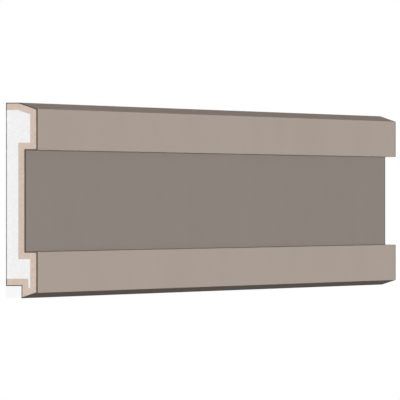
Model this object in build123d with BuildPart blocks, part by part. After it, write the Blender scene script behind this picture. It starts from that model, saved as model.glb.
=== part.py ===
from build123d import *
import os

# Facade band moulding: a rigid foam core faced with a moulded mortar coat on every side but its back.
# It lies on its back. X runs along the length, +Y points up when the band is on the wall, and +Z points
# out from the wall. The origin is at the middle of the back face.

# Driving dimensions
length = 1200.0
depth = 34.0
band_height = 42.0
recess_height = 104.0
recess_depth = 13.0
ledge_width = 14.5
weathering_fall = 6.5
drip_fall = 5.5
rebate_height = 12.5
coat_thickness = 7.5
tongue_width = 2.0
arris_radius = 0.6

# Heights on the wall, from the level ledge on top down to the drip edge
height = weathering_fall + band_height + recess_height + band_height + drip_fall
top = height / 2
upper_band_top = top - weathering_fall
recess_top = upper_band_top - band_height
recess_bottom = recess_top - recess_height
lower_band_bottom = recess_bottom - band_height
drip_edge = lower_band_bottom - drip_fall
rebate_soffit = drip_edge + rebate_height

# Distances out from the wall
wall = 0.0
recess_face = depth - recess_depth
lip_width = coat_thickness + tongue_width + coat_thickness
lip_back = depth - lip_width


def section_points(back):
    """Corners of the section, ledge first, with its straight back side at the distance back from the wall."""
    return [
        (top, back),
        (top, ledge_width),
        (upper_band_top, depth),
        (recess_top, depth),
        (recess_top, recess_face),
        (recess_bottom, recess_face),
        (recess_bottom, depth),
        (lower_band_bottom, depth),
        (drip_edge, lip_back),
        (rebate_soffit, lip_back),
        (rebate_soffit, back),
    ]


os.makedirs("parts", exist_ok=True)

# Foam core: the section drawn in by one coat thickness all round. Its back side starts one coat thickness
# behind the wall, so it ends up flush with the wall and bare. A thin tongue of it runs down into the drip lip.
with BuildPart() as foam_core:
    with BuildSketch(Plane.YZ):
        with BuildLine():
            Polyline(*section_points(wall - coat_thickness), close=True)
        make_face()
        offset(amount=-coat_thickness, kind=Kind.INTERSECTION, mode=Mode.REPLACE)
    extrude(amount=length / 2, both=True)
foam_core.part.label = "foam_core"
export_step(foam_core.part, "parts/foam_core.step")

# Facing coat: the whole section, less the core that it is moulded on. Its moulded corners are rounded, all
# but the drip edge, which stays sharp so that water falls from it.
with BuildPart() as facing_coat:
    with BuildSketch(Plane.YZ) as coat_section:
        with BuildLine():
            Polyline(*section_points(wall), close=True)
        make_face()
        off_the_wall = coat_section.vertices().filter_by_position(Axis.Y, wall, depth, (False, True))
        above_the_drip = off_the_wall.filter_by_position(Axis.X, drip_edge, top, (False, True))
        fillet(above_the_drip, radius=arris_radius)
    extrude(amount=length / 2, both=True)
    add(foam_core.part, mode=Mode.SUBTRACT)
facing_coat.part.label = "facing_coat"
export_step(facing_coat.part, "parts/facing_coat.step")
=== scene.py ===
"""Dresses the facade band moulding: a painted mortar coat on a white foam core, on a plain stage."""

import math

import bpy
from bpy.props import FloatProperty, FloatVectorProperty, PointerProperty
from mathutils import Matrix, Vector


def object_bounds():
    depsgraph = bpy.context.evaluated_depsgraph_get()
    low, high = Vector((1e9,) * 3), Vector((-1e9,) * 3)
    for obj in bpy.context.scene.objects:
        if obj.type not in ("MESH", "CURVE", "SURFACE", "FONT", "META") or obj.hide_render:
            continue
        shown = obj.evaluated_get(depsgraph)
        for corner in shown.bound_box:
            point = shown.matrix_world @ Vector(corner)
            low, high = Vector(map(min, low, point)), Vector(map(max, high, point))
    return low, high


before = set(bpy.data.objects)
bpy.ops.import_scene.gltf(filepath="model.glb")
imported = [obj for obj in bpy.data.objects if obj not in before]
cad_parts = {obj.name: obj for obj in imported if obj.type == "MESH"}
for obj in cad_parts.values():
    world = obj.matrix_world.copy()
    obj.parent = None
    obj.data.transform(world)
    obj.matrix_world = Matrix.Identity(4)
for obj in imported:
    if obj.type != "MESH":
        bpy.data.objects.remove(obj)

bl_info = {
    "name": "Facade Band Moulding",
    "version": (1, 0, 0),
    "blender": (4, 5, 0),
    "location": "View3D > Sidebar > Facade Band",
    "description": "Finishes the coat and the core of a facade band moulding and sets its stage",
    "category": "Object",
}

MM = 0.001

# The solid's box: it lies on its back, with the wall side down and the sloping top towards +Y
CAD_LOW, CAD_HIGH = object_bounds()
HALF_LENGTH = CAD_HIGH.x
TOP = CAD_HIGH.y
DRIP_EDGE = CAD_LOW.y
FRONT = CAD_HIGH.z
WALL = CAD_LOW.z

# How far off a flat face a point may be and still count as on it
SLACK = 0.05 * MM

# A mix node's colour sockets, by number because its socket names repeat
MIX_FACTOR = 0
MIX_FIRST = 6
MIX_SECOND = 7
MIX_RESULT = 2

# The values that a noise texture keeps between for most of its area, as Map Range inputs
NOISE_RANGE = {"From Min": 0.3, "From Max": 0.7}

# Refractive indices of an acrylic facade paint and of polystyrene
PAINT_IOR = 1.5
POLYSTYRENE_IOR = 1.59


def linear(hex_colour):
    """An sRGB hex colour as linear red, green, blue and alpha."""
    levels = [int(hex_colour[i:i + 2], 16) / 255 for i in (1, 3, 5)]
    colour = [c / 12.92 if c <= 0.04045 else ((c + 0.055) / 1.055) ** 2.4 for c in levels]
    return (*colour, 1.0)


def length_property(name, description, millimetres):
    """A length that the user can change, given in millimetres and kept in metres."""
    return FloatProperty(name=name, description=description, default=millimetres * MM, min=0.0,
                         precision=5, unit="LENGTH", subtype="DISTANCE")


def colour_property(name, description, hex_colour):
    """A colour that the user can change, given as sRGB hex."""
    return FloatVectorProperty(name=name, description=description, default=linear(hex_colour), size=4,
                               min=0.0, max=1.0, subtype="COLOR")


def share_property(name, description, share):
    """A share from 0 to 1 that the user can change."""
    return FloatProperty(name=name, description=description, default=share, min=0.0, max=1.0,
                         precision=3, subtype="FACTOR")


def angle_property(name, description, degrees):
    """An angle that the user can change, given in degrees."""
    return FloatProperty(name=name, description=description, default=math.radians(degrees), subtype="ANGLE")


def direction_property(name, description, direction):
    """A direction that the user can change."""
    return FloatVectorProperty(name=name, description=description, default=direction, precision=3,
                               subtype="XYZ")


class BandSection(bpy.types.PropertyGroup):
    """Sizes of the moulded section, as the solids have them."""

    band_height: length_property("Band height", "Height of each raised band", 42.0)
    recess_height: length_property("Recess height", "Height of the flat between the raised bands", 104.0)
    recess_depth: length_property("Recess depth", "Depth of the flat behind the raised bands", 13.0)
    ledge_width: length_property("Ledge width", "Width of the level ledge on top", 14.5)
    weathering_fall: length_property("Weathering fall", "Fall of the sloping top", 6.5)
    drip_fall: length_property("Drip fall", "Fall of the sloping underside to the drip edge", 5.5)
    rebate_height: length_property("Rebate height", "Height of the rebate behind the drip lip", 12.5)
    lip_width: length_property("Lip width", "Thickness of the drip lip", 17.0)
    arris_radius: length_property("Arris radius", "Rounding of the moulded corners", 0.6)


class BandFinish(bpy.types.PropertyGroup):
    """Colours and grain of the coat and the core."""

    band_paint: colour_property("Band paint", "Facade paint on the raised bands", "#A99C93")
    # Painted shade: the recess flat gets a darker colour for the shade in the recess
    recess_shade: colour_property("Recess shade", "Facade paint on the flat between the bands", "#8C837C")
    # Painted shade: the sloping underside gets a darker colour for the shade under the drip lip
    underside_shade: colour_property("Underside shade", "Facade paint on the sloping underside", "#7F766F")
    mortar: colour_property("Mortar", "Bare mortar on the cut ends and the back edges", "#CEBDB0")
    paint_edge: colour_property("Paint edge", "Paint film seen on edge round a cut end", "#574D45")
    foam: colour_property("Foam", "Bare expanded polystyrene", "#F0F0F0")
    # Foam edge: a grey line along each cut end where the foam meets the back, the side that lies on the floor
    foam_edge: colour_property("Foam edge", "Handled edge where a cut end meets the back", "#6E6E6E")
    edge_width: length_property("Edge width", "Width of the dark line round a cut end", 0.95)
    edge_fade: length_property("Edge fade", "Width over which that line fades on its inner side", 0.8)
    edge_run: length_property("Edge run", "Length of paint that the saw darkened beside a cut", 1.8)
    mottle: length_property("Mottle", "Width of the soft patches left by the roller", 60.0)
    paint_grain: length_property("Paint grain", "Sand grain that shows through the paint", 1.6)
    tooth: length_property("Tooth", "Height of the sand grain under the paint", 0.1)
    aggregate: length_property("Aggregate", "Sand grains in the cut mortar", 1.8)
    bead: length_property("Bead", "Diameter of a foam bead", 4.0)
    bead_seam: length_property("Bead seam", "Width of the groove between foam beads", 0.5)
    seam_depth: length_property("Seam depth", "Depth of the groove between foam beads", 0.1)
    mottle_contrast: share_property("Mottle contrast", "How much the roller patches differ", 0.03)
    grain_contrast: share_property("Grain contrast", "How much the paint's sand grains differ", 0.03)
    sand_contrast: share_property("Sand contrast", "How much the cut sand grains differ", 0.12)
    bead_contrast: share_property("Bead contrast", "How much the foam beads differ", 0.025)
    seam_contrast: share_property("Seam contrast", "How much darker the seams between beads are", 0.05)
    paint_roughness: share_property("Paint roughness", "Roughness of the paint between its sand grains", 1.0)
    grain_roughness: share_property("Grain roughness", "Roughness of the paint on its sand grains", 0.9)
    seam_roughness: share_property("Seam roughness", "Roughness of the seams between foam beads", 0.9)
    bead_roughness: share_property("Bead roughness", "Roughness of the melted skin on the beads", 0.7)
    paint_gloss: share_property("Paint gloss", "Specular level of the dead-matt paint", 0.0)
    foam_gloss: share_property("Foam gloss", "Specular level of the melted skin on the foam", 0.2)


class BandStage(bpy.types.PropertyGroup):
    """Floor, lamps and camera."""

    floor: colour_property("Floor", "Floor as the camera sees it", "#FFFFFF")
    floor_bounce: colour_property("Floor bounce", "Floor as the object's underside sees it", "#8A8A8A")
    shadow_share: share_property("Shadow share", "Strength of the shadow on the floor", 0.08)
    ambient: share_property("Ambient", "Brightness of the surroundings", 0.06)
    key_level: share_property("Key level", "Level of the overhead lamp", 0.82)
    end_level: share_property("End level", "Level of the lamps at the two ends", 0.85)
    side_level: share_property("Side level", "Level of the lamp on the sloping top's side", 0.1)
    key_from: direction_property("Key from", "Where the overhead lamp stands", (0.0, 0.0, 1.0))
    near_from: direction_property("Near end from", "Where the lamp at the near end stands", (-1.0, 0.0, 0.07))
    far_from: direction_property("Far end from", "Where the lamp at the far end stands", (1.0, 0.0, 0.07))
    side_from: direction_property("Side from", "Where the lamp on the top's side stands", (0.0, 1.0, 0.05))
    key_spread: angle_property("Key spread", "How wide the overhead lamp looks", 8.0)
    low_spread: angle_property("Low spread", "How wide the three low lamps look", 6.0)
    elevation: angle_property("Elevation", "Angle at which the camera looks down", 19.402)
    distance: length_property("Distance", "From the camera to the point it looks at", 7474.0)
    lens: FloatProperty(name="Lens", description="Focal length in millimetres on a 36 mm sensor",
                        default=612.2, subtype="DISTANCE_CAMERA")
    aim_along: FloatProperty(name="Aim along", description="Point looked at, from the middle of the length",
                             default=-45.3 * MM, unit="LENGTH", subtype="DISTANCE")
    aim_up: length_property("Aim up", "Point looked at, towards the sloping top", 0.46)
    aim_out: length_property("Aim out", "Point looked at, out from the wall side", 15.0)
    floor_size: length_property("Floor size", "Side of the floor", 120000.0)
    view_reach: length_property("View reach", "How far the camera sees", 100000.0)


def add_node(tree, kind, inputs=None, **settings):
    """Adds a shader node with its settings, links or sets its inputs, and gives back its outputs."""
    node = tree.nodes.new(kind)
    for name, value in settings.items():
        setattr(node, name, value)
    for key, value in (inputs or {}).items():
        if isinstance(value, bpy.types.NodeSocket):
            tree.links.new(value, node.inputs[key])
        else:
            node.inputs[key].default_value = value
    return node.outputs


def new_material(name):
    """An empty node material."""
    material = bpy.data.materials.new(name)
    material.use_nodes = True
    material.node_tree.nodes.clear()
    return material


def give_material(node, material):
    """Puts a material in every slot of a CAD node."""
    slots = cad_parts[node].material_slots
    if not slots:
        raise RuntimeError(f"{node} has no material slot")
    for slot in slots:
        slot.material = material


def outer_sides(section):
    """The section's sides that stand out: which way each one faces, and a point on it."""
    ledge_edge = WALL + section.ledge_width
    sides = {
        "ledge": ((0.0, 1.0, 0.0), (0.0, TOP, WALL)),
        "weathering": ((0.0, FRONT - ledge_edge, section.weathering_fall), (0.0, TOP, ledge_edge)),
        "front": ((0.0, 0.0, 1.0), (0.0, TOP, FRONT)),
        "underside": ((0.0, -section.lip_width, section.drip_fall),
                      (0.0, DRIP_EDGE, FRONT - section.lip_width)),
        "back": ((0.0, 0.0, -1.0), (0.0, TOP, WALL)),
    }
    return {name: (Vector(facing).normalized(), Vector(point)) for name, (facing, point) in sides.items()}


def hollows(section):
    """The recess and the rebate, each from its lowest to its highest corner."""
    recess_top = TOP - section.weathering_fall - section.band_height
    recess_bottom = recess_top - section.recess_height
    soffit = DRIP_EDGE + section.rebate_height
    return {
        "recess": (Vector((0.0, recess_bottom, FRONT - section.recess_depth)),
                   Vector((0.0, recess_top, FRONT))),
        "rebate": (Vector((0.0, DRIP_EDGE, WALL)), Vector((0.0, soffit, FRONT - section.lip_width))),
    }


def near_cut(tree, place, reach):
    """1 within a reach of the nearer cut end, and 0 further along."""
    from_middle = add_node(tree, "ShaderNodeMath", {0: place["X"]}, operation="ABSOLUTE")[0]
    return add_node(tree, "ShaderNodeMath", {0: from_middle, 1: HALF_LENGTH - reach},
                    operation="GREATER_THAN")[0]


def near_wall(tree, place, reach):
    """1 within a reach of the back, and 0 further out from the wall."""
    return add_node(tree, "ShaderNodeMath", {0: place["Z"], 1: WALL + reach}, operation="LESS_THAN")[0]


def near_side(tree, at, side, reach, fade):
    """1 on an outer side, a half at a reach behind it, and 0 further in."""
    facing, point = side
    outward = add_node(tree, "ShaderNodeVectorMath", {0: at, 1: facing}, operation="DOT_PRODUCT")["Value"]
    halfway = facing.dot(point) - reach
    return add_node(tree, "ShaderNodeMapRange",
                    {"Value": outward, "From Min": halfway - fade / 2, "From Max": halfway + fade / 2})[0]


def near_hollow(tree, at, corners, reach, fade):
    """1 on a hollow's sides, a half at a reach behind them, and 0 further in."""
    low, high = corners
    offset = add_node(tree, "ShaderNodeVectorMath", {0: at, 1: (low + high) / 2}, operation="SUBTRACT")[0]
    spread = add_node(tree, "ShaderNodeVectorMath", {0: offset}, operation="ABSOLUTE")[0]
    beyond = add_node(tree, "ShaderNodeVectorMath", {0: spread, 1: (high - low) / 2},
                      operation="SUBTRACT")[0]
    gap = add_node(tree, "ShaderNodeSeparateXYZ", {0: beyond})
    nearest = add_node(tree, "ShaderNodeMath", {0: gap["Y"], 1: gap["Z"]}, operation="MAXIMUM")[0]
    return add_node(tree, "ShaderNodeMapRange",
                    {"Value": nearest, "From Min": reach + fade / 2, "From Max": reach - fade / 2})[0]


def on_recess_flat(tree, place, section):
    """1 on the flat between the raised bands, where the recess's painted shade goes, up to half way round its
    inner corners, and 0 elsewhere.
    """
    low, high = hollows(section)["recess"]
    middle = (low.y + high.y) / 2
    offset = add_node(tree, "ShaderNodeMath", {0: place["Y"], 1: middle}, operation="SUBTRACT")[0]
    spread = add_node(tree, "ShaderNodeMath", {0: offset}, operation="ABSOLUTE")[0]
    between = add_node(tree, "ShaderNodeMath", {0: spread, 1: section.recess_height / 2 - SLACK},
                       operation="LESS_THAN")[0]
    sunk = add_node(tree, "ShaderNodeMath", {0: place["Z"], 1: low.z + section.arris_radius / 2},
                    operation="LESS_THAN")[0]
    return add_node(tree, "ShaderNodeMath", {0: between, 1: sunk}, operation="MULTIPLY")[0]


def on_underside(tree, at, section):
    """1 on the sloping underside, where its painted shade goes, fading to 0 round its front arris, and 0
    elsewhere.
    """
    fade = section.arris_radius / 2
    return near_side(tree, at, outer_sides(section)["underside"], fade / 2, fade)


def along_outline(tree, at, section, width, fade):
    """1 on the section's outline, as a cut end shows it, a half at a width from it, and 0 further in."""
    marks = [near_side(tree, at, side, width, fade) for side in outer_sides(section).values()]
    marks += [near_hollow(tree, at, corners, width, fade) for corners in hollows(section).values()]
    outline = marks[0]
    for mark in marks[1:]:
        outline = add_node(tree, "ShaderNodeMath", {0: outline, 1: mark}, operation="MAXIMUM")[0]
    return outline


def tone_range(contrast):
    """Map Range inputs for a tone that differs by a contrast about 1."""
    return {"To Min": 1 - contrast / 2, "To Max": 1 + contrast / 2}


def paint_colour(tree, at, place, section, finish, grain):
    """Paint with roller patches and sand grain, with painted shade on the recess flat and the underside, and
    darker beside a cut.
    """
    patches = add_node(tree, "ShaderNodeTexNoise", {"Vector": at, "Scale": 1 / finish.mottle})["Fac"]
    patch_tone = add_node(tree, "ShaderNodeMapRange",
                          {"Value": patches, **NOISE_RANGE, **tone_range(finish.mottle_contrast)})[0]
    grain_tone = add_node(tree, "ShaderNodeMapRange",
                          {"Value": grain, **NOISE_RANGE, **tone_range(finish.grain_contrast)})[0]
    tone = add_node(tree, "ShaderNodeMath", {0: patch_tone, 1: grain_tone}, operation="MULTIPLY")[0]
    # Painted shade: a darker colour on the recess flat between the bands
    paint = add_node(tree, "ShaderNodeMix",
                     {MIX_FACTOR: on_recess_flat(tree, place, section), MIX_FIRST: finish.band_paint,
                      MIX_SECOND: finish.recess_shade}, data_type="RGBA")[MIX_RESULT]
    # Painted shade: a darker colour on the sloping underside
    paint = add_node(tree, "ShaderNodeMix",
                     {MIX_FACTOR: on_underside(tree, at, section), MIX_FIRST: paint,
                      MIX_SECOND: finish.underside_shade}, data_type="RGBA")[MIX_RESULT]
    paint = add_node(tree, "ShaderNodeVectorMath", {0: paint, "Scale": tone}, operation="SCALE")[0]
    return add_node(tree, "ShaderNodeMix",
                    {MIX_FACTOR: near_cut(tree, place, finish.edge_run), MIX_FIRST: paint,
                     MIX_SECOND: finish.paint_edge}, data_type="RGBA")[MIX_RESULT]


def mortar_colour(tree, at, finish):
    """Bare mortar, in which every sand grain has a tone of its own."""
    # The real grains are under 1 mm, and are drawn coarser so that they show
    sand = add_node(tree, "ShaderNodeTexVoronoi", {"Vector": at, "Scale": 1 / finish.aggregate})
    shade = add_node(tree, "ShaderNodeSeparateColor", {0: sand["Color"]})[0]
    tone = add_node(tree, "ShaderNodeMapRange", {"Value": shade, **tone_range(finish.sand_contrast)})[0]
    return add_node(tree, "ShaderNodeVectorMath", {0: finish.mortar[:3], "Scale": tone},
                    operation="SCALE")[0]


def painted_mortar(section, finish):
    """Dead-matt facade paint rolled on moulded fine mortar.

    The eye gets an even taupe without gloss, with faint roller patches and the sand's tooth under the paint,
    and painted shade as darker taupes on the flat between the bands and on the sloping underside. The saw
    cuts and the back edges are bare: sand grains in a paler paste, with the paint film as a thin dark line
    round each cut.
    """
    material = new_material("matt facade paint on moulded mortar")
    tree = material.node_tree
    at = add_node(tree, "ShaderNodeTexCoord")["Object"]
    place = add_node(tree, "ShaderNodeSeparateXYZ", {0: at})

    # The sand grain under the paint is under 1 mm too, and is drawn coarser so that it shows
    grain = add_node(tree, "ShaderNodeTexNoise", {"Vector": at, "Scale": 1 / finish.paint_grain})["Fac"]
    paint = paint_colour(tree, at, place, section, finish, grain)
    mortar = mortar_colour(tree, at, finish)

    # Where the mortar is bare, and the line of the paint film round each cut
    cut = near_cut(tree, place, SLACK)
    bare = add_node(tree, "ShaderNodeMath", {0: cut, 1: near_wall(tree, place, SLACK)},
                    operation="MAXIMUM")[0]
    outline = along_outline(tree, at, section, finish.edge_width, finish.edge_fade)
    line = add_node(tree, "ShaderNodeMath", {0: cut, 1: outline}, operation="MULTIPLY")[0]

    colour = add_node(tree, "ShaderNodeMix", {MIX_FACTOR: bare, MIX_FIRST: paint, MIX_SECOND: mortar},
                      data_type="RGBA")[MIX_RESULT]
    colour = add_node(tree, "ShaderNodeMix",
                      {MIX_FACTOR: line, MIX_FIRST: colour, MIX_SECOND: finish.paint_edge},
                      data_type="RGBA")[MIX_RESULT]
    roughness = add_node(tree, "ShaderNodeMapRange",
                         {"Value": grain, **NOISE_RANGE, "To Min": finish.paint_roughness,
                          "To Max": finish.grain_roughness})[0]
    bump = add_node(tree, "ShaderNodeBump", {"Height": grain, "Distance": finish.tooth})[0]
    shader = add_node(tree, "ShaderNodeBsdfPrincipled",
                      {"Base Color": colour, "Roughness": roughness, "Normal": bump,
                       "IOR": PAINT_IOR, "Specular IOR Level": finish.paint_gloss})[0]
    add_node(tree, "ShaderNodeOutputMaterial", {"Surface": shader})
    return material


def cut_foam(finish):
    """Expanded polystyrene cut with a hot wire.

    The eye gets a soft white made of pressed beads, each a hair lighter or darker than the next, with fine
    grey seams between them, a faint satin on the melted skin, and a grey line where each cut end meets the
    back, the side that lies on the floor.
    """
    material = new_material("white expanded polystyrene, hot-wire cut")
    tree = material.node_tree
    at = add_node(tree, "ShaderNodeTexCoord")["Object"]
    place = add_node(tree, "ShaderNodeSeparateXYZ", {0: at})
    beads = add_node(tree, "ShaderNodeTexVoronoi", {"Vector": at, "Scale": 1 / finish.bead})
    shade = add_node(tree, "ShaderNodeSeparateColor", {0: beads["Color"]})[0]
    to_seam = add_node(tree, "ShaderNodeTexVoronoi", {"Vector": at, "Scale": 1 / finish.bead},
                       feature="DISTANCE_TO_EDGE")["Distance"]
    crown = add_node(tree, "ShaderNodeMapRange",
                     {"Value": to_seam, "From Max": finish.bead_seam / finish.bead / 2})[0]
    bead_tone = add_node(tree, "ShaderNodeMapRange", {"Value": shade, "To Min": 1 - finish.bead_contrast})[0]
    seam_tone = add_node(tree, "ShaderNodeMapRange", {"Value": crown, "To Min": 1 - finish.seam_contrast})[0]
    tone = add_node(tree, "ShaderNodeMath", {0: bead_tone, 1: seam_tone}, operation="MULTIPLY")[0]
    foam = add_node(tree, "ShaderNodeVectorMath", {0: finish.foam[:3], "Scale": tone}, operation="SCALE")[0]
    back_edge = add_node(tree, "ShaderNodeMath",
                         {0: near_cut(tree, place, SLACK), 1: near_wall(tree, place, finish.edge_width)},
                         operation="MULTIPLY")[0]
    colour = add_node(tree, "ShaderNodeMix",
                      {MIX_FACTOR: back_edge, MIX_FIRST: foam, MIX_SECOND: finish.foam_edge},
                      data_type="RGBA")[MIX_RESULT]
    roughness = add_node(tree, "ShaderNodeMapRange",
                         {"Value": crown, "To Min": finish.seam_roughness,
                          "To Max": finish.bead_roughness})[0]
    bump = add_node(tree, "ShaderNodeBump", {"Height": crown, "Distance": finish.seam_depth})[0]
    shader = add_node(tree, "ShaderNodeBsdfPrincipled",
                      {"Base Color": colour, "Roughness": roughness, "Normal": bump,
                       "IOR": POLYSTYRENE_IOR, "Specular IOR Level": finish.foam_gloss})[0]
    add_node(tree, "ShaderNodeOutputMaterial", {"Surface": shader})
    return material


def seen_or_reflected(tree):
    """1 for rays from the camera, mirrors and glass, and 0 for light that bounces off matt surfaces."""
    rays = add_node(tree, "ShaderNodeLightPath")
    seen = add_node(tree, "ShaderNodeMath", {0: rays["Is Camera Ray"], 1: rays["Is Glossy Ray"]},
                    operation="MAXIMUM")[0]
    return add_node(tree, "ShaderNodeMath", {0: seen, 1: rays["Is Transmission Ray"]},
                    operation="MAXIMUM")[0]


def studio_floor(stage):
    """Matt white floor, which shows the object's shadow but throws little light back up at it."""
    material = new_material("matt white studio floor")
    tree = material.node_tree
    lit = add_node(tree, "ShaderNodeBsdfDiffuse", {"Color": stage.floor})[0]
    white = add_node(tree, "ShaderNodeEmission", {"Color": stage.floor})[0]
    shown = add_node(tree, "ShaderNodeMixShader", {0: stage.shadow_share, 1: white, 2: lit})[0]
    bounce = add_node(tree, "ShaderNodeBsdfDiffuse", {"Color": stage.floor_bounce})[0]
    surface = add_node(tree, "ShaderNodeMixShader", {0: seen_or_reflected(tree), 1: bounce, 2: shown})[0]
    add_node(tree, "ShaderNodeOutputMaterial", {"Surface": surface})
    return material


def studio_world(stage):
    """White surroundings to look at, which light the object only a little."""
    world = bpy.data.worlds.new("white studio")
    world.use_nodes = True
    tree = world.node_tree
    tree.nodes.clear()
    level = add_node(tree, "ShaderNodeMapRange",
                     {"Value": seen_or_reflected(tree), "To Min": stage.ambient})[0]
    background = add_node(tree, "ShaderNodeBackground", {"Color": stage.floor, "Strength": level})[0]
    add_node(tree, "ShaderNodeOutputWorld", {"Surface": background})
    return world


def add_lamp(name, towards, level, spread):
    """A far soft lamp in a direction; at level 1 a white surface that faces it renders white."""
    bpy.ops.object.light_add(type="SUN", location=towards)
    lamp = bpy.context.object
    lamp.name = name
    lamp.rotation_euler = Vector(towards).to_track_quat("Z", "Y").to_euler()
    lamp.data.energy = level * math.pi
    lamp.data.angle = spread


def add_camera(name, stage):
    """The camera at the photograph's angle, level along the length, with the sloping top up."""
    view = Vector((math.cos(stage.elevation), 0.0, -math.sin(stage.elevation)))
    right = Vector((math.sin(stage.elevation), 0.0, math.cos(stage.elevation)))
    up = Vector((0.0, 1.0, 0.0))
    aim = Vector((stage.aim_along, stage.aim_up, stage.aim_out))
    turn = Matrix((right, up, -view)).transposed().to_euler()
    bpy.ops.object.camera_add(location=aim - view * stage.distance, rotation=turn)
    camera = bpy.context.object
    camera.name = name
    camera.data.lens = stage.lens
    camera.data.clip_end = stage.view_reach
    bpy.context.scene.camera = camera


class FACADE_BAND_OT_finish_coat(bpy.types.Operator):
    """Give the facing coat its paint, and its cut ends bare mortar"""

    bl_idname = "facade_band.finish_coat"
    bl_label = "Finish Facing Coat"

    def execute(self, context):
        give_material("facing_coat", painted_mortar(context.scene.band_section, context.scene.band_finish))
        return {"FINISHED"}


class FACADE_BAND_OT_finish_core(bpy.types.Operator):
    """Give the foam core its bead pattern"""

    bl_idname = "facade_band.finish_core"
    bl_label = "Finish Foam Core"

    def execute(self, context):
        give_material("foam_core", cut_foam(context.scene.band_finish))
        return {"FINISHED"}


class FACADE_BAND_OT_set_stage(bpy.types.Operator):
    """Add the floor, the lamps and the camera"""

    bl_idname = "facade_band.set_stage"
    bl_label = "Set Stage"

    def execute(self, context):
        stage = context.scene.band_stage
        bpy.ops.object.select_all(action="DESELECT")
        bpy.ops.mesh.primitive_plane_add(size=stage.floor_size, location=(0.0, 0.0, WALL))
        floor = context.object
        floor.name = "studio_floor"
        floor.data.materials.append(studio_floor(stage))
        context.scene.world = studio_world(stage)
        context.scene.view_settings.view_transform = "Standard"
        add_lamp("key_lamp", stage.key_from, stage.key_level, stage.key_spread)
        add_lamp("near_end_lamp", stage.near_from, stage.end_level, stage.low_spread)
        add_lamp("far_end_lamp", stage.far_from, stage.end_level, stage.low_spread)
        add_lamp("top_side_lamp", stage.side_from, stage.side_level, stage.low_spread)
        add_camera("photo_camera", stage)
        return {"FINISHED"}


class FACADE_BAND_PT_panel(bpy.types.Panel):
    """Sizes, colours and steps of the facade band"""

    bl_idname = "FACADE_BAND_PT_panel"
    bl_label = "Facade Band"
    bl_space_type = "VIEW_3D"
    bl_region_type = "UI"
    bl_category = "Facade Band"

    def draw(self, context):
        for name, group in GROUPS.items():
            box = self.layout.box()
            for setting in group.__annotations__:
                box.prop(getattr(context.scene, name), setting)
        for step in STEPS:
            self.layout.operator(step.bl_idname)


GROUPS = {"band_section": BandSection, "band_finish": BandFinish, "band_stage": BandStage}
STEPS = (FACADE_BAND_OT_finish_coat, FACADE_BAND_OT_finish_core, FACADE_BAND_OT_set_stage)
CLASSES = (*GROUPS.values(), *STEPS, FACADE_BAND_PT_panel)


def register():
    """Registers the classes and gives the scene its settings."""
    for item in CLASSES:
        bpy.utils.register_class(item)
    for name, group in GROUPS.items():
        setattr(bpy.types.Scene, name, PointerProperty(type=group))


def unregister():
    """Takes the settings and the classes away again."""
    for name in GROUPS:
        delattr(bpy.types.Scene, name)
    for item in reversed(CLASSES):
        bpy.utils.unregister_class(item)


def main():
    register()
    bpy.ops.facade_band.finish_coat()
    bpy.ops.facade_band.finish_core()
    bpy.ops.facade_band.set_stage()


if __name__ == "__main__":
    main()
